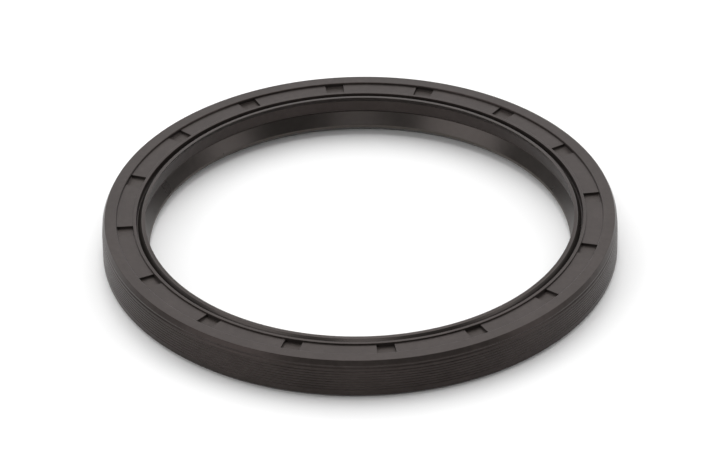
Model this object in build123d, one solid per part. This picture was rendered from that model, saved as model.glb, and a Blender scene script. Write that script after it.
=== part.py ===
from build123d import *
import os

# Radial shaft seal with a rubber-covered, rilled outside, a dust lip and a
# spring-loaded sealing lip. Millimetres, +Z along the axis towards the air side,
# origin on the axis at the oil-side end face. "Depth" is measured down from the
# air-side face, so a point's height is seal_width minus its depth.

# ---- the seal's size: its housing bore is the shaft and two section heights ----
shaft_diameter = 100.0
section_height = 10.0          # radial, from the shaft out to the housing bore
seal_width = 10.0

# ---- outside of the rubber cover ----
air_chamfer_inset = 0.75       # radial, from the housing size in to the raised rim
air_chamfer_height = 1.00
oil_chamfer_inset = 0.90
oil_chamfer_height = 0.95
entry_groove_height = 0.88     # plain groove under the air-side chamfer
entry_land_height = 0.30       # narrow land between that chamfer and its groove
rill_count = 8
rill_pitch = 0.695
rill_width = 0.40
rill_depth = 0.12

# ---- air-side face ----
rim_width = 2.67               # raised rim that the press tool bears on
face_recess = 0.45             # recessed face below the rim
inner_rim_clear = 1.96         # radial, from the shaft out to the inner rim
inner_rim_width = 0.77
inner_rim_drop = 0.10          # its top below the raised rim
pocket_count = 16
pocket_angle = 4.4
pocket_phase = 5.75
pocket_depth = 0.62            # below the recessed face, down to the insert
pocket_ledge_width = 0.25
pocket_ledge_height = 0.18

# ---- steel insert, an L section stamped ring ----
outer_cover = 1.20             # rubber over the insert's leg, outside
inner_cover = 0.50             # rubber over the leg, inside
under_cover = 0.55             # rubber over the flange, oil side
end_cover = 0.90               # rubber over the leg's end
leg_thickness = 1.00
flange_thickness = 1.10
flange_clear = 3.10            # radial, from the shaft out to the flange's edge
bend_radius = 1.20

# ---- dust lip and the groove behind it ----
dust_lip_bite = 0.14           # tip smaller than the shaft, on the radius
dust_tip_width = 0.85
dust_tip_drop = 0.02
dust_back_drop = 0.07          # outer edge of the tip's top below the raised rim
dust_lip_height = 1.53         # from the tip down to the plain passage
passage_clear = 0.80           # plain passage wall off the shaft
groove_depth = 1.38
groove_floor_width = 0.20
groove_floor_radius = 0.10     # where the dust lip's back runs into the floor
groove_wall_draft = 0.15       # the inner rim's wall leans over its own height

# ---- flexible wall, sealing lip and its spring seat ----
flex_wall = 1.25
flex_end_depth = 4.35          # where the wall turns into the lip's cone
crease_width = 0.30            # fine hinge groove at that turn
crease_depth = 0.18
lip_bite = 0.90                # lip smaller than the shaft, on the radius
lip_land_depth = 7.35
lip_land_width = 0.62
lip_wall = 1.93                # from the sealing edge out to the spring seat
head_foot_height = 0.42        # from the nose under the spring down to the head's foot
head_foot_clear = 0.60         # radial, from the shaft out to the head's foot
head_foot_width = 1.45
spring_radius = 0.90
spring_slack = 0.05            # seat radius over the spring's
spring_lead = 0.25             # spring's plane above the sealing edge
spring_grip = 0.50             # seat wraps past the spring's centre by this much
shoulder_depth = 5.15          # head's upper shoulder
nose_width = 0.45              # lower edge that keeps the spring in
corner_radius = 0.40           # inside corners of the annular space

shaft_radius = shaft_diameter / 2
housing_radius = shaft_radius + section_height
rim_outer = housing_radius - air_chamfer_inset
rim_inner = rim_outer - rim_width
leg_outer = housing_radius - outer_cover
leg_inner = leg_outer - leg_thickness
space_outer = leg_inner - inner_cover
flange_top_depth = face_recess + pocket_depth
flange_low_depth = flange_top_depth + flange_thickness
space_top_depth = flange_low_depth + under_cover
leg_end_depth = seal_width - end_cover
flange_edge = shaft_radius + flange_clear
inner_rim_in = shaft_radius + inner_rim_clear
inner_rim_out = inner_rim_in + inner_rim_width
groove_out = inner_rim_in - groove_wall_draft
groove_in = groove_out - groove_floor_width
dust_tip = shaft_radius - dust_lip_bite
passage = shaft_radius + passage_clear
flex_outer = passage + flex_wall
lip_radius = shaft_radius - lip_bite
lip_edge_depth = lip_land_depth + lip_land_width
head_foot = shaft_radius + head_foot_clear
head_heel = head_foot + head_foot_width
spring_inner = lip_radius + lip_wall
spring_centre = spring_inner + spring_radius
seat_radius = spring_radius + spring_slack
seat_centre = spring_inner + seat_radius
spring_depth = lip_edge_depth - spring_lead
head_outer = seat_centre + spring_grip
seat_half = (seat_radius ** 2 - spring_grip ** 2) ** 0.5
nose_depth = spring_depth + seat_half
head_depth = nose_depth + nose_width + head_foot_height


def at(radius, depth):
    return (radius, seal_width - depth)


def ring(section):
    return revolve(Plane.XZ * section, Axis.Z, 360)


def outside_points():
    """From the raised rim down the rilled outside to the oil-side face."""
    valley = housing_radius - rill_depth
    points = [at(rim_inner, 0), at(rim_outer, 0), at(housing_radius, air_chamfer_height)]
    entry = air_chamfer_height + entry_land_height
    points += [at(housing_radius, entry), at(valley, entry + rill_depth)]
    entry_end = entry + entry_groove_height
    points += [at(valley, entry_end - rill_depth), at(housing_radius, entry_end)]
    for number in range(rill_count):
        middle = entry_end + (number + 1) * rill_pitch - rill_width / 2
        points += [at(housing_radius, middle - rill_width / 2), at(valley, middle)]
        points += [at(housing_radius, middle + rill_width / 2)]
    points += [at(housing_radius, seal_width - oil_chamfer_height)]
    return points + [at(housing_radius - oil_chamfer_inset, seal_width)]


def space_points():
    """The annular space on the oil side and the outside of the lip's head."""
    points = [at(space_outer, seal_width), at(space_outer, space_top_depth)]
    points += [at(flex_outer, space_top_depth), at(flex_outer, shoulder_depth)]
    points += [at(head_outer, spring_depth - seat_half - nose_width), at(head_outer, spring_depth)]
    points += [at(head_outer + nose_width, nose_depth), at(head_outer + nose_width, nose_depth + nose_width)]
    return points + [at(head_heel, head_depth)]


def shaft_side_points():
    """Sealing lip, plain passage and dust lip, from the oil side upwards."""
    points = [at(head_foot, head_depth), at(lip_radius, lip_edge_depth), at(lip_radius, lip_land_depth)]
    points += [at(passage, flex_end_depth + crease_width / 2), at(passage + crease_depth, flex_end_depth)]
    points += [at(passage, flex_end_depth - crease_width / 2), at(passage, dust_tip_drop + dust_lip_height)]
    return points + [at(dust_tip, dust_tip_drop), at(dust_tip + dust_tip_width, dust_back_drop)]


def air_face_points():
    """The groove behind the dust lip, the inner rim and the recessed face."""
    points = [at(groove_in, groove_depth), at(groove_out, groove_depth), at(inner_rim_in, inner_rim_drop)]
    points += [at(inner_rim_out, inner_rim_drop), at(inner_rim_out, face_recess)]
    return points + [at(rim_inner, face_recess)]


def insert_section():
    top = [at(flange_edge, flange_top_depth), at(leg_outer, flange_top_depth), at(leg_outer, leg_end_depth)]
    low = [at(leg_inner, leg_end_depth), at(leg_inner, flange_low_depth), at(flange_edge, flange_low_depth)]
    section = make_face(Polyline(top + low, close=True))
    bend = section.vertices().sort_by_distance(Vector(*at(leg_outer, flange_top_depth)))[0]
    return fillet(bend, bend_radius)


def pocket_section():
    ledge_in = rim_inner - pocket_ledge_width
    ledge_depth = flange_top_depth - pocket_ledge_height
    points = [at(inner_rim_out, flange_top_depth), at(ledge_in, flange_top_depth), at(ledge_in, ledge_depth)]
    points += [at(rim_inner, ledge_depth), at(rim_inner, 0), at(inner_rim_out, 0)]
    return make_face(Polyline(points, close=True))


def rubber_section():
    points = outside_points() + space_points() + shaft_side_points() + air_face_points()
    section = make_face(Polyline(points, close=True))
    for corner in (at(space_outer, space_top_depth), at(flex_outer, space_top_depth)):
        vertex = section.vertices().sort_by_distance(Vector(*corner))[0]
        section = fillet(vertex, corner_radius)
    vertex = section.vertices().sort_by_distance(Vector(*at(groove_in, groove_depth)))[0]
    section = fillet(vertex, groove_floor_radius)
    seat = Pos(*at(seat_centre, spring_depth)) * Circle(seat_radius)
    return section - seat - insert_section()


def seal_body():
    pocket = revolve(Plane.XZ * pocket_section(), Axis.Z, pocket_angle)
    body = ring(rubber_section())
    for number in range(pocket_count):
        turn = pocket_phase - pocket_angle / 2 + number * 360 / pocket_count
        body -= Rot(0, 0, turn) * pocket
    return body


def insert_ring():
    return ring(insert_section())


def garter_spring():
    return ring(Pos(*at(spring_centre, spring_depth)) * Circle(spring_radius))


os.makedirs("parts", exist_ok=True)
export_step(seal_body(), "parts/seal_body.step")
export_step(insert_ring(), "parts/insert_ring.step")
export_step(garter_spring(), "parts/garter_spring.step")
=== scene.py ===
import math

import bpy
from mathutils import Matrix, Vector


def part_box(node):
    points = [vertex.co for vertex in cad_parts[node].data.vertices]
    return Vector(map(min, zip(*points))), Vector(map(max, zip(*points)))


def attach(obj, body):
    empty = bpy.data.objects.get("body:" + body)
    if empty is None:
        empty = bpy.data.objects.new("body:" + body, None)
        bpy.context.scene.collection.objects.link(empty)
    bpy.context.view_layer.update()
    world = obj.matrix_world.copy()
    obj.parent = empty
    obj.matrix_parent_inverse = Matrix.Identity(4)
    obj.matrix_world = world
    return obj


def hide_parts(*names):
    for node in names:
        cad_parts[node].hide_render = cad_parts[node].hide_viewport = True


# Radial shaft seal: rubber body moulded round a steel insert, with a garter spring in the
# lip. Radii and depths below are millimetres; a depth is measured down from the air-side
# face. Blender's own lengths are metres.

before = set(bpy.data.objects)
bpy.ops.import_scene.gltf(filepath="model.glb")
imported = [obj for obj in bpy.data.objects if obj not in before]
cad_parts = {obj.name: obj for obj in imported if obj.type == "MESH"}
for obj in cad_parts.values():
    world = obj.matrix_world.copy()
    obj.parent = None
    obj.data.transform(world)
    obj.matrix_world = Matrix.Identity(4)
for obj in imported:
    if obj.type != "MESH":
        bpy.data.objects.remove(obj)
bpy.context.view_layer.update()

MM = 0.001
TAU = 2 * math.pi

# ---- sizes read from the frame ----
body_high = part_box("seal_body")[1]
housing_radius = body_high.x / MM
seal_width = body_high.z / MM
spring_low, spring_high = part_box("garter_spring")
spring_outer = spring_high.x / MM
spring_radius = (spring_high.z - spring_low.z) / 2 / MM
spring_centre = spring_outer - spring_radius
spring_depth = seal_width - (spring_high.z + spring_low.z) / 2 / MM
insert_low, insert_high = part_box("insert_ring")
flange_top_depth = seal_width - insert_high.z / MM
leg_end_depth = seal_width - insert_low.z / MM
leg_outer = insert_high.x / MM

# ---- sizes of the section ----
# They are the solids' own, apart from differences under 0.2 mm that the solids leave out:
# the draw-in and the chamfer at the air side, the plain groove and the rills' start under
# it, the fall of the raised rim, the dust lip's outer edge and the lean of the lip's land.
shaft_radius = 50.0
air_chamfer_inset = 0.66
air_chamfer_height = 1.14
wall_taper = 0.16              # the outside draws in by this much at the air side
wall_taper_end = 3.40          # the depth where that ends
oil_chamfer_inset = 0.90
oil_chamfer_height = 0.95
entry_land_height = 0.20
entry_groove_height = 0.72
entry_groove_depth = 0.13
entry_foot_height = 0.34       # its lower side slopes back out over this height
rill_count = 8
rill_start = 2.52              # upper edge of the first rill
rill_pitch = 0.695
rill_width = 0.40
rill_depth = 0.12
rim_width = 2.76
rim_fall = 0.03                # the raised rim's outer edge lies this much lower
face_recess = 0.45
inner_rim_clear = 1.96         # off the shaft, on the radius, as are the other clears
inner_rim_width = 0.77
inner_rim_drop = 0.10
pocket_count = 16
pocket_angle = 4.4
pocket_phase = 5.75
pocket_ledge_width = 0.25
pocket_ledge_height = 0.18
leg_thickness = 1.00
flange_thickness = 1.10
flange_clear = 3.10
bend_radius = 1.20
inner_cover = 0.50             # rubber over the insert's leg, inside
under_cover = 0.55             # rubber under its flange
dust_lip_bite = 0.14           # the tip is smaller than the shaft by this much
dust_tip_width = 0.85
dust_tip_drop = 0.02
dust_back_drop = 0.10
dust_lip_height = 1.53
passage_clear = 0.80
groove_depth = 1.38
groove_floor_width = 0.20
groove_wall_draft = 0.15
flex_wall = 1.25
flex_end_depth = 4.35
crease_depth = 0.18
crease_width = 0.30
lip_bite = 0.90                # the sealing lip is smaller than the shaft by this much
lip_land_depth = 7.35
lip_land_width = 0.62
lip_land_lean = 0.07           # its upper end stands this much further out
head_foot_height = 0.42
head_foot_clear = 0.60
head_foot_width = 1.45
seat_slack = 0.05              # between the spring and its seat
spring_grip = 0.50             # the seat wraps past the spring's centre by this much
shoulder_depth = 5.15
nose_width = 0.45

# ---- roundings ----
edge_round = 0.12              # moulded edges
sharp_round = 0.05             # trimmed edges and tight corners
tip_round = 0.03               # the dust lip's tip
back_round = 0.15              # the dust lip's outer edge
rim_round = 0.25               # the raised rim's inner edge
ledge_round = 0.07             # the ledge in a pocket
air_chamfer_round = 0.40       # the chamfer runs softly into the land below it
groove_floor_round = 0.10      # where the dust lip's back runs into the groove's floor
corner_round = 0.40            # inside corners of the annular space

# ---- how finely the ring is drawn ----
plain_step = 1.30              # degrees from station to station between two pockets
pocket_steps = 4               # spans across a pocket's floor
pocket_wall = 0.10             # degrees, about, from a pocket's edge to its full depth
seat_steps = 14                # spans round the spring's seat
bend_steps = 6                 # spans round the insert's bend

# ---- places that follow from the sizes ----
rim_outer = housing_radius - air_chamfer_inset
rim_inner = rim_outer - rim_width
inner_rim_in = shaft_radius + inner_rim_clear
inner_rim_out = inner_rim_in + inner_rim_width
ledge_in = rim_inner - pocket_ledge_width
leg_inner = leg_outer - leg_thickness
space_outer = leg_inner - inner_cover
flange_edge = shaft_radius + flange_clear
flange_low_depth = flange_top_depth + flange_thickness
space_top_depth = flange_low_depth + under_cover
dust_tip = shaft_radius - dust_lip_bite
passage = shaft_radius + passage_clear
flex_outer = passage + flex_wall
lip_radius = shaft_radius - lip_bite
lip_edge_depth = lip_land_depth + lip_land_width
head_foot = shaft_radius + head_foot_clear
head_heel = head_foot + head_foot_width
seat_radius = spring_radius + seat_slack
seat_centre = spring_centre + seat_slack
seat_half = math.sqrt(seat_radius ** 2 - spring_grip ** 2)
head_outer = seat_centre + spring_grip
head_depth = spring_depth + seat_half + nose_width + head_foot_height


# ------------------------------------------------------------------ section outline

def arc_points(centre, radius, start, end, count):
    """Points on an arc, angles in degrees, both ends included."""
    points = []
    for number in range(count + 1):
        angle = math.radians(start + (end - start) * number / count)
        points.append((centre[0] + radius * math.cos(angle), centre[1] + radius * math.sin(angle)))
    return points


def rounded(corners, count=3):
    """An open outline of (radius, depth, rounding) as points, its inner corners rounded off.

    count is the number of spans in each rounding.
    """
    points = [corners[0][:2]]
    for before, corner, after in zip(corners, corners[1:], corners[2:]):
        here = Vector(corner[:2])
        to_before = (Vector(before[:2]) - here).normalized()
        to_after = (Vector(after[:2]) - here).normalized()
        if not corner[2]:
            points.append(tuple(here))
            continue
        half = to_before.angle(to_after) / 2
        back = corner[2] / math.tan(half)
        middle = here + (to_before + to_after).normalized() * (corner[2] / math.sin(half))
        first = here + to_before * back - middle
        last = here + to_after * back - middle
        turn = first.angle_signed(last)
        for number in range(count + 1):
            spoke = first.copy()
            spoke.rotate(Matrix.Rotation(-turn * number / count, 2))
            points.append(tuple(middle + spoke))
    return points + [corners[-1][:2]]


def wall_radius(depth):
    """The outside draws in a little towards the air side, to start it in its bore."""
    share = max(0.0, (wall_taper_end - depth) / (wall_taper_end - air_chamfer_height))
    return housing_radius - wall_taper * share


def rill_points(top_depth):
    """One rill: a groove in the shape of a cosine wave, between flat crests."""
    points = []
    for share in (0.0, 0.18, 0.34, 0.5, 0.66, 0.82, 1.0):
        cut = rill_depth * (1 - math.cos(TAU * share)) / 2
        depth = top_depth + rill_width * share
        points.append((wall_radius(depth) - cut, depth))
    return points


def outside_outline():
    """From the raised rim's inner edge over the rim and down the rilled outside."""
    entry = air_chamfer_height + entry_land_height
    entry_end = entry + entry_groove_height
    land = wall_radius(air_chamfer_height)
    valley = land - entry_groove_depth
    points = rounded([
        (rim_inner, rim_round + sharp_round, 0),
        (rim_inner, 0, rim_round),
        (rim_outer, rim_fall, edge_round),
        (land, air_chamfer_height, air_chamfer_round),
        (land, entry, sharp_round),
        (valley, entry + entry_groove_depth, edge_round),
        (valley, entry_end - entry_foot_height, edge_round),
        (wall_radius(entry_end), entry_end, edge_round),
        (wall_radius(entry_end), entry_end + edge_round * 2, 0),
    ])
    for number in range(rill_count):
        points += rill_points(rill_start + number * rill_pitch)
    foot = housing_radius - oil_chamfer_inset
    return points + rounded([
        (housing_radius, seal_width - oil_chamfer_height - edge_round * 2, 0),
        (housing_radius, seal_width - oil_chamfer_height, edge_round),
        (foot, seal_width, edge_round),
        (space_outer, seal_width, edge_round),
        (space_outer, space_top_depth, corner_round),
        (flex_outer, space_top_depth, corner_round),
        (flex_outer, shoulder_depth - edge_round * 2, 0),
    ])


def lip_outline():
    """The lip's head with the spring's seat, then the sealing lip and the passage."""
    opening = math.degrees(math.acos(spring_grip / seat_radius))
    upper = spring_depth - seat_half
    lower = spring_depth + seat_half
    points = rounded([
        (flex_outer, shoulder_depth - edge_round, 0),
        (flex_outer, shoulder_depth, edge_round),
        (head_outer, upper - nose_width, edge_round),
        (head_outer, upper - sharp_round, 0),
    ])
    points += arc_points((seat_centre, spring_depth), seat_radius, -opening, opening - 360, seat_steps)
    return points + rounded([
        (head_outer + sharp_round, lower - sharp_round / 2, 0),
        (head_outer + nose_width, lower, edge_round),
        (head_outer + nose_width, lower + nose_width, edge_round),
        (head_heel, head_depth, edge_round),
        (head_foot, head_depth, edge_round),
        (lip_radius, lip_edge_depth, sharp_round),
        (lip_radius + lip_land_lean, lip_land_depth, sharp_round),
        (passage, flex_end_depth + crease_width / 2, sharp_round),
        (passage + crease_depth, flex_end_depth, sharp_round),
        (passage, flex_end_depth - crease_width / 2, sharp_round),
        (passage, dust_tip_drop + dust_lip_height, edge_round),
        (dust_tip, dust_tip_drop, tip_round),
        (dust_tip + dust_tip_width, dust_back_drop, 0),
    ])[:-1]


def groove_outline():
    """The groove behind the dust lip and the inner rim."""
    floor_out = inner_rim_in - groove_wall_draft
    floor_in = floor_out - groove_floor_width
    top_fall = (dust_back_drop - dust_tip_drop) / dust_tip_width
    return rounded([
        (dust_tip + edge_round, dust_tip_drop + top_fall * edge_round, 0),
        (dust_tip + dust_tip_width, dust_back_drop, back_round),
        (floor_in, groove_depth, groove_floor_round),
        (floor_out, groove_depth, sharp_round),
        (inner_rim_in, inner_rim_drop, edge_round),
        (inner_rim_out, inner_rim_drop, edge_round),
        (inner_rim_out, inner_rim_drop + edge_round * 1.5, 0),
    ], count=4)


def face_line():
    """The recessed face between two pockets, from the inner rim out to the raised rim."""
    small = sharp_round
    return [
        (inner_rim_out, face_recess - small),
        (inner_rim_out + small, face_recess),
        (flange_edge, face_recess),
        (ledge_in - small, face_recess),
        (ledge_in - small / 2, face_recess),
        (ledge_in, face_recess),
        (ledge_in + small, face_recess),
        (rim_inner - small * 2, face_recess),
        (rim_inner - small, face_recess),
        (rim_inner, face_recess - small),
    ]


def pocket_line():
    """The same stretch across a pocket: wall, floor on the insert, ledge, wall."""
    small = sharp_round
    floor = flange_top_depth
    ledge = floor - pocket_ledge_height
    return [
        (inner_rim_out, floor - small),
        (inner_rim_out + small, floor),
        (flange_edge, floor),
        (ledge_in - ledge_round, floor),
        (ledge_in, floor - ledge_round),
        (ledge_in, ledge + ledge_round),
        (ledge_in + ledge_round, ledge),
        (rim_inner - small, ledge),
        (rim_inner, ledge - small),
        (rim_inner, face_recess - small),
    ]


def insert_outline():
    """The space that the insert fills, starting with the stretch under the pockets."""
    bend = (leg_outer - bend_radius, flange_top_depth + bend_radius)
    points = [(flange_edge, flange_top_depth), (ledge_in - ledge_round, flange_top_depth)]
    points += arc_points(bend, bend_radius, -90, 0, bend_steps)
    points += [(leg_outer, leg_end_depth), (leg_inner, leg_end_depth)]
    return points + [(leg_inner, flange_low_depth), (flange_edge, flange_low_depth)]


# ------------------------------------------------------------------ the rubber body

def stations():
    """(angle in degrees, share of the pocket's depth) all the way round.

    rise is a pocket's end wall, as (place across the wall, share): steep, with rounded ends.
    """
    pitch = 360 / pocket_count
    rise = ((-0.6, 0.0), (-0.15, 0.06), (0.15, 0.94), (0.6, 1.0))
    plain_count = round((pitch - pocket_angle) / plain_step)
    result = []
    for number in range(pocket_count):
        middle = pocket_phase + number * pitch
        start = middle - pocket_angle / 2
        end = middle + pocket_angle / 2
        result += [(start + pocket_wall * place, share) for place, share in rise]
        for step in range(1, pocket_steps):
            result.append((start + pocket_angle * step / pocket_steps, 1.0))
        result += [(end - pocket_wall * place, share) for place, share in reversed(rise)]
        for step in range(1, plain_count):
            result.append((end + (pitch - pocket_angle) * step / plain_count, 0.0))
    return result


def ring_point(angle, radius, depth):
    """A point of the section, turned round the axis, in metres."""
    turn = math.radians(angle)
    height = seal_width - depth
    return Vector((radius * math.cos(turn), radius * math.sin(turn), height)) * MM


def mixed(plain, pocket, share):
    """The outline part of the way from the plain face to the pocket."""
    return [(a[0] + (b[0] - a[0]) * share, a[1] + (b[1] - a[1]) * share) for a, b in zip(plain, pocket)]


def mesh_object(name, points, faces, materials, slots=None):
    """A smooth-shaded mesh; slots says which of its materials each face has."""
    mesh = bpy.data.meshes.new(name)
    mesh.from_pydata(points, [], faces)
    for material in materials:
        mesh.materials.append(material)
    if slots:
        mesh.polygons.foreach_set("material_index", slots)
    mesh.polygons.foreach_set("use_smooth", [True] * len(mesh.polygons))
    mesh.validate()
    made = bpy.data.objects.new(name, mesh)
    bpy.context.scene.collection.objects.link(made)
    return made


def ring_faces(start, station_count, point_count, keep):
    """Quads between neighbouring closed outlines; keep(station, point) says which are wanted."""
    faces = []
    for station in range(station_count):
        here = start + station * point_count
        there = start + (station + 1) % station_count * point_count
        for point in range(point_count):
            after = (point + 1) % point_count
            if keep(station, point):
                faces.append((here + point, here + after, there + after, there + point))
    return faces


def surface_of(first, last):
    """0 moulded, 1 polished (the lip's cone and the dust lip's back), 2 trimmed and painted paler as a
    highlight (the lip's land).
    """
    radius = (first[0] + last[0]) / 2
    depth = (first[1] + last[1]) / 2
    land_limit = lip_radius + lip_land_lean * 2
    cone_start = flex_end_depth + crease_width / 2
    back_start = dust_tip + dust_tip_width * 0.7
    back_end = inner_rim_in - groove_wall_draft * 2
    if radius < land_limit and lip_land_depth < depth < lip_edge_depth:
        return 2
    on_cone = radius < passage and cone_start < depth < lip_edge_depth
    on_back = back_start < radius < back_end and depth < groove_depth
    return int(on_cone or on_back)


def heading(section, point):
    """The section's direction at a point: its longer side's, or both sides' when they match."""
    before = Vector(section[point - 1])
    here = Vector(section[point])
    after = Vector(section[(point + 1) % len(section)])
    back = here - before
    ahead = after - here
    nearly = 0.95
    way = Vector((0, 0))
    if back.length > ahead.length * nearly:
        way += back.normalized()
    if ahead.length > back.length * nearly:
        way += ahead.normalized()
    return way


def shading_normals(around, sections, shifts):
    """Normals that shade a flat as a flat up to its rounded edges, and leave no seam at a pocket.

    shifts is how far each point moves, in radius and depth, from the plain section to the pocket's.
    """
    normals = []
    for number, (angle, share) in enumerate(around):
        before, after = around[number - 1], around[(number + 1) % len(around)]
        rate = 0.0
        if 0 < share < 1:
            rate = (after[1] - before[1]) / math.radians(after[0] - before[0])
        spin = Matrix.Rotation(math.radians(angle), 3, "Z")
        for point, (shift_out, shift_down) in enumerate(shifts):
            radius = sections[number][point][0]
            out, down = heading(sections[number], point)
            # across tips the normal where the section is on its way into a pocket
            across = rate * (out * shift_down - down * shift_out)
            normals.append(spin @ Vector((down * radius, across, out * radius)).normalized())
    return normals


def make_body(surfaces):
    """The rubber's skin and the space that the insert fills, open where a pocket bares the insert."""
    fixed = outside_outline() + lip_outline() + groove_outline()
    plain = face_line()
    pocket = pocket_line()
    around = stations()
    sections = [fixed + mixed(plain, pocket, share) for angle, share in around]
    points = []
    for (angle, share), section in zip(around, sections):
        points += [ring_point(angle, radius, depth) for radius, depth in section]
    shifts = [(0.0, 0.0)] * len(fixed) + [(b[0] - a[0], b[1] - a[1]) for a, b in zip(plain, pocket)]
    normals = shading_normals(around, sections, shifts)
    count = len(fixed) + len(plain)
    window = len(fixed) + pocket.index((flange_edge, flange_top_depth))

    def bare(station):
        """Whether the insert shows from this station to the next."""
        return around[station][1] == 1 and around[(station + 1) % len(around)][1] == 1

    faces = ring_faces(0, len(around), count, lambda station, point: point != window or not bare(station))
    section = fixed + plain
    kinds = [surface_of(section[point], section[(point + 1) % count]) for point in range(count)]
    slots = [kinds[face[0] % count] for face in faces]
    inside = insert_outline()
    start = len(points)
    for angle, share in around:
        points += [ring_point(angle, radius, depth) for radius, depth in inside]
    cavity = ring_faces(start, len(around), len(inside),
                        lambda station, point: point != 0 or not bare(station))
    faces += [tuple(reversed(face)) for face in cavity]
    slots += [0] * len(cavity)
    body = mesh_object("rubber_body", points, faces, surfaces, slots)
    normals += [Vector((0, 0, 0))] * (len(points) - start)  # the unseen cavity keeps Blender's own
    body.data.normals_split_custom_set_from_vertices(normals)
    return body


def make_spring(wire_steel):
    """A closed coil, wound wire against wire, bent into a ring in the lip's seat."""
    wire_radius = 0.175
    turn_points = 10
    wire_sides = 6
    coil_radius = spring_radius - wire_radius
    turns = int(TAU * (spring_centre - spring_radius) / (wire_radius * 2))
    total = turns * turn_points
    points = []
    for number in range(total):
        ring_angle = TAU * number / total
        coil_angle = TAU * number / turn_points
        outwards = Vector((math.cos(ring_angle), math.sin(ring_angle), 0))
        along = Vector((-math.sin(ring_angle), math.cos(ring_angle), 0))
        from_core = outwards * math.cos(coil_angle) + Vector((0, 0, 1)) * math.sin(coil_angle)
        core = outwards * spring_centre + Vector((0, 0, seal_width - spring_depth))
        middle = core + from_core * coil_radius
        for side in range(wire_sides):
            turn = TAU * side / wire_sides
            offset = from_core * math.cos(turn) + along * math.sin(turn)
            points.append((middle + offset * wire_radius) * MM)
    faces = ring_faces(0, total, wire_sides, lambda station, point: True)
    return mesh_object("garter_coil", points, faces, (wire_steel,))


# ------------------------------------------------------------------ materials

def linear(hex_colour):
    """An sRGB hex colour as the linear values that a shader takes."""
    values = []
    for place in (0, 2, 4):
        part = int(hex_colour[place:place + 2], 16) / 255
        values.append(part / 12.92 if part <= 0.04045 else ((part + 0.055) / 1.055) ** 2.4)
    return (*values, 1.0)


def add_node(tree, kind, settings=None, links=None):
    """Adds a node, sets its inputs or properties by name, and links its inputs."""
    node = tree.nodes.new(kind)
    for name, value in (settings or {}).items():
        if name in node.inputs:
            node.inputs[name].default_value = value
        else:
            setattr(node, name, value)
    for name, source in (links or {}).items():
        tree.links.new(source, node.inputs[name])
    return node


def new_material(name):
    """A material with an empty node tree."""
    material = bpy.data.materials.new(name)
    material.use_nodes = True
    material.node_tree.nodes.clear()
    return material, material.node_tree


def finish_material(tree, shader):
    """Puts the shader on the material's surface."""
    output = add_node(tree, "ShaderNodeOutputMaterial")
    tree.links.new(shader.outputs[0], output.inputs["Surface"])


def per_mm(size):
    """Texture scale, in repeats a metre, of a pattern whose features are this many millimetres."""
    return 1 / (size * MM)


def moulded_rubber(name, base, dusty, roughness, shine, shine_tint, grain_mm, grain_strength):
    """Black nitrile rubber out of a steel mould: satin, faintly mottled by its bloom, fine grained.

    The mould's own grain is finer than grain_mm, which is as coarse as it needs to be to show.
    """
    material, tree = new_material(name)
    cloud_mm = 9.0                 # the bloom lies in clouds this wide, broken into spots
    spot_mm = 1.3
    grain_depth = 0.02 * MM
    place = add_node(tree, "ShaderNodeTexCoord").outputs["Object"]
    cloud = add_node(tree, "ShaderNodeTexNoise", {"Scale": per_mm(cloud_mm), "Detail": 4.0},
                     {"Vector": place})
    spot = add_node(tree, "ShaderNodeTexNoise", {"Scale": per_mm(spot_mm), "Detail": 6.0},
                    {"Vector": place})
    both = add_node(tree, "ShaderNodeMath", {"operation": "MULTIPLY"})
    tree.links.new(cloud.outputs["Fac"], both.inputs[0])
    tree.links.new(spot.outputs["Fac"], both.inputs[1])
    tint = add_node(tree, "ShaderNodeValToRGB", {}, {"Fac": both.outputs[0]})
    for stop, share, colour in zip(tint.color_ramp.elements, (0.12, 0.45), (base, dusty)):
        stop.position = share
        stop.color = linear(colour)
    sheen = add_node(tree, "ShaderNodeMapRange", {"To Min": roughness - 0.04, "To Max": roughness + 0.06},
                     {"Value": cloud.outputs["Fac"]})
    grain = add_node(tree, "ShaderNodeTexNoise", {"Scale": per_mm(grain_mm), "Detail": 3.0},
                     {"Vector": place})
    relief = add_node(tree, "ShaderNodeBump", {"Strength": grain_strength, "Distance": grain_depth},
                      {"Height": grain.outputs["Fac"]})
    shader = add_node(tree, "ShaderNodeBsdfPrincipled",
                      {"IOR": 1.5, "Metallic": 0.0, "Specular IOR Level": shine,
                       "Specular Tint": linear(shine_tint)},
                      {"Base Color": tint.outputs["Color"], "Roughness": sheen.outputs["Result"],
                       "Normal": relief.outputs["Normal"]})
    finish_material(tree, shader)
    return material


def phosphated_steel():
    """Deep-drawn steel, grey zinc phosphate under a dark bonding coat: matt and slightly blotchy."""
    material, tree = new_material("phosphated_steel")
    blotch_mm = 0.8
    coat_depth = 0.01 * MM
    place = add_node(tree, "ShaderNodeTexCoord").outputs["Object"]
    blotch = add_node(tree, "ShaderNodeTexNoise", {"Scale": per_mm(blotch_mm), "Detail": 5.0},
                      {"Vector": place})
    tint = add_node(tree, "ShaderNodeValToRGB", {}, {"Fac": blotch.outputs["Fac"]})
    for stop, share, colour in zip(tint.color_ramp.elements, (0.3, 0.75), ("2c2927", "383431")):
        stop.position = share
        stop.color = linear(colour)
    relief = add_node(tree, "ShaderNodeBump", {"Strength": 0.3, "Distance": coat_depth},
                      {"Height": blotch.outputs["Fac"]})
    sheen = add_node(tree, "ShaderNodeMapRange", {"To Min": 0.34, "To Max": 0.42},
                     {"Value": blotch.outputs["Fac"]})
    shader = add_node(tree, "ShaderNodeBsdfPrincipled",
                      {"Metallic": 0.0, "Specular IOR Level": 0.22, "Specular Tint": linear("ffe6e2")},
                      {"Base Color": tint.outputs["Color"], "Roughness": sheen.outputs["Result"],
                       "Normal": relief.outputs["Normal"]})
    finish_material(tree, shader)
    return material


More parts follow.
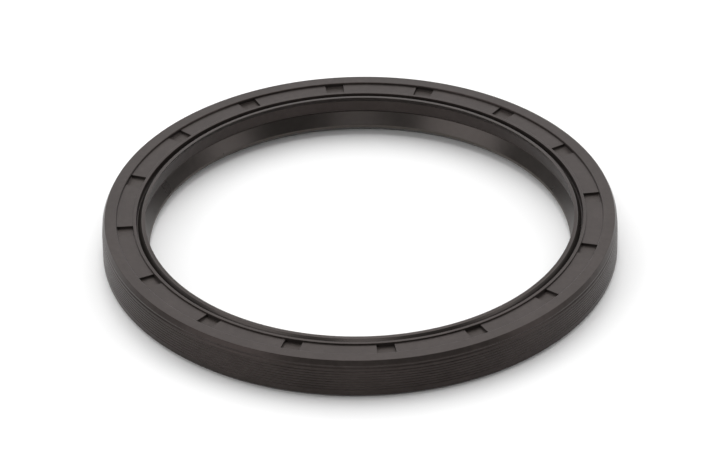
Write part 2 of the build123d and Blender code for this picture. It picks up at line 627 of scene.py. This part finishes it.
def drawn_spring_wire():
    """Drawn carbon-steel wire: bright, with faint scuffs all along it."""
    material, tree = new_material("drawn_spring_wire")
    wear_mm = 2.0
    scuff_mm = 0.05
    scuff_depth = 0.005 * MM
    place = add_node(tree, "ShaderNodeTexCoord").outputs["Object"]
    wear = add_node(tree, "ShaderNodeTexNoise", {"Scale": per_mm(wear_mm), "Detail": 4.0},
                    {"Vector": place})
    tint = add_node(tree, "ShaderNodeValToRGB", {}, {"Fac": wear.outputs["Fac"]})
    for stop, share, colour in zip(tint.color_ramp.elements, (0.3, 0.7), ("8f8b86", "b9b5ae")):
        stop.position = share
        stop.color = linear(colour)
    sheen = add_node(tree, "ShaderNodeMapRange", {"To Min": 0.24, "To Max": 0.38},
                     {"Value": wear.outputs["Fac"]})
    scuff = add_node(tree, "ShaderNodeTexNoise", {"Scale": per_mm(scuff_mm), "Detail": 3.0},
                     {"Vector": place})
    relief = add_node(tree, "ShaderNodeBump", {"Strength": 0.2, "Distance": scuff_depth},
                      {"Height": scuff.outputs["Fac"]})
    shader = add_node(tree, "ShaderNodeBsdfPrincipled", {"Metallic": 1.0},
                      {"Base Color": tint.outputs["Color"], "Roughness": sheen.outputs["Result"],
                       "Normal": relief.outputs["Normal"]})
    finish_material(tree, shader)
    return material


# ------------------------------------------------------------------ floor, light, camera

def make_floor():
    """Matt white, laid wide, and bright enough to burn out to plain white away from the seal."""
    half = 4.0
    corners = [(-half, -half, 0), (half, -half, 0), (half, half, 0), (-half, half, 0)]
    material, tree = new_material("matt_white_floor")
    finish_material(tree, add_node(tree, "ShaderNodeBsdfDiffuse", {"Color": linear("fdfdfd")}))
    floor = mesh_object("floor", corners, [(0, 1, 2, 3)], (material,))


def add_lamp(name, place, width, height, strength, down=False):
    """A soft box that faces the seal or straight down; strength 1 is as bright as white paper."""
    light = bpy.data.lights.new(name, "AREA")
    light.shape = "RECTANGLE"
    light.size = width
    light.size_y = height
    light.energy = strength * math.pi * width * height
    lamp = bpy.data.objects.new(name, light)
    lamp.location = place
    if not down:
        lamp.rotation_euler = Vector(place).to_track_quat("Z", "Y").to_euler()
    bpy.context.scene.collection.objects.link(lamp)


def around_seal(azimuth, elevation, distance=1.4):
    """A place round the seal; azimuth 0 is the camera's side and 90 is to the right."""
    turn = math.radians(azimuth)
    rise = math.radians(elevation)
    level = distance * math.cos(rise)
    return (level * math.sin(turn), -level * math.cos(turn), distance * math.sin(rise))


def make_lamps():
    """A strip overhead, beyond the seal, and soft boxes to the left, to the right and in front."""
    add_lamp("top_strip", (0.03, 0.72, 1.3), width=0.34, height=1.45, strength=2.9, down=True)
    add_lamp("left_box", around_seal(-56.5, 20), width=1.00, height=0.90, strength=2.35)
    add_lamp("right_box", around_seal(72, 18), width=0.58, height=0.92, strength=1.95)
    add_lamp("front_box", around_seal(1, 37), width=0.55, height=0.38, strength=3.0)


def make_sky():
    """A studio that is bright beyond the seal and overhead and dim on the camera's side.

    The camera itself sees plain white beyond the floor.
    """
    dim_side = 0.09
    bright_side = 1.52
    beyond = (0, 0.996, 0.087)
    overhead = (0, 0.5, 1)
    world = bpy.data.worlds.new("studio")
    bpy.context.scene.world = world
    world.use_nodes = True
    tree = world.node_tree
    tree.nodes.clear()
    direction = add_node(tree, "ShaderNodeTexCoord").outputs["Generated"]
    how_far_beyond = add_node(tree, "ShaderNodeVectorMath", {"operation": "DOT_PRODUCT"})
    tree.links.new(direction, how_far_beyond.inputs[0])
    how_far_beyond.inputs[1].default_value = beyond
    how_far_up = add_node(tree, "ShaderNodeVectorMath", {"operation": "DOT_PRODUCT"})
    tree.links.new(direction, how_far_up.inputs[0])
    how_far_up.inputs[1].default_value = overhead
    front_edge = add_node(tree, "ShaderNodeMapRange",
                          {"interpolation_type": "SMOOTHSTEP", "From Min": -0.15, "From Max": 0.15},
                          {"Value": how_far_beyond.outputs["Value"]})
    low_edge = add_node(tree, "ShaderNodeMapRange",
                        {"interpolation_type": "SMOOTHSTEP", "From Min": 0.2, "From Max": 0.6,
                         "To Max": bright_side},
                        {"Value": how_far_up.outputs["Value"]})
    level = add_node(tree, "ShaderNodeMath", {"operation": "MULTIPLY_ADD"})
    tree.links.new(front_edge.outputs["Result"], level.inputs[0])
    tree.links.new(low_edge.outputs["Result"], level.inputs[1])
    level.inputs[2].default_value = dim_side
    sky = add_node(tree, "ShaderNodeBackground", {"Color": linear("ffffff")},
                   {"Strength": level.outputs["Value"]})
    white = add_node(tree, "ShaderNodeBackground", {"Color": linear("ffffff"), "Strength": 1.0})
    seen = add_node(tree, "ShaderNodeLightPath")
    mix = add_node(tree, "ShaderNodeMixShader", {}, {"Fac": seen.outputs["Is Camera Ray"]})
    tree.links.new(sky.outputs[0], mix.inputs[1])
    tree.links.new(white.outputs[0], mix.inputs[2])
    output = add_node(tree, "ShaderNodeOutputWorld")
    tree.links.new(mix.outputs[0], output.inputs["Surface"])


def make_camera():
    """A long lens from the front, 34 degrees down, turned a degree off level."""
    frame_width = 720
    focal_length = 5328.9          # in the same pixels as the frame's width
    sensor = 36.0
    back = 1030.332 * MM
    up = (688.558 + seal_width) * MM
    yaw, pitch, roll = (math.radians(angle) for angle in (0.001, 33.949, -0.945))
    data = bpy.data.cameras.new("camera")
    data.sensor_width = sensor
    data.lens = focal_length * sensor / frame_width
    data.clip_start = 0.01
    data.clip_end = 100
    camera = bpy.data.objects.new("camera", data)
    heading_turn = Matrix.Rotation(-yaw, 4, "Z")
    tilt = Matrix.Rotation(math.pi / 2 - pitch, 4, "X")
    lean = Matrix.Rotation(roll, 4, "Z")
    camera.matrix_world = Matrix.Translation((0, -back, up)) @ heading_turn @ tilt @ lean
    bpy.context.scene.collection.objects.link(camera)
    bpy.context.scene.camera = camera


# ------------------------------------------------------------------ the scene

# As it leaves the mould: satin, so the flats read grey-brown and the rills as fine lines.
rubber = moulded_rubber("moulded_rubber", "24211f", "312d2b", roughness=0.30,
                        shine=0.24, shine_tint="ffe6e2", grain_mm=0.16, grain_strength=0.15)
# Off the mould's polished core: darker and glossier, with soft bright reflections.
lip_rubber = moulded_rubber("polished_lip_rubber", "211f1d", "2b2826", roughness=0.28,
                            shine=0.48, shine_tint="fff0eb", grain_mm=0.5, grain_strength=0.05)
# Trimmed with a knife at the lip's edge: duller, with its colour painted a little paler as a highlight so
# the land shows as a bright line.
land_rubber_painted_highlight = moulded_rubber("trimmed_lip_rubber_painted_highlight", "403d39", "48443f", roughness=0.50,
                            shine=0.35, shine_tint="fff0eb", grain_mm=0.30, grain_strength=0.10)
body = make_body((rubber, lip_rubber, land_rubber_painted_highlight))
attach(body, "root")
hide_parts("seal_body")

spring = make_spring(drawn_spring_wire())
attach(spring, "root")
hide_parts("garter_spring")

insert_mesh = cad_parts["insert_ring"].data
insert_mesh.materials.clear()
insert_mesh.materials.append(phosphated_steel())

make_floor()
make_lamps()
make_sky()
make_camera()
bpy.context.scene.view_settings.view_transform = "Standard"
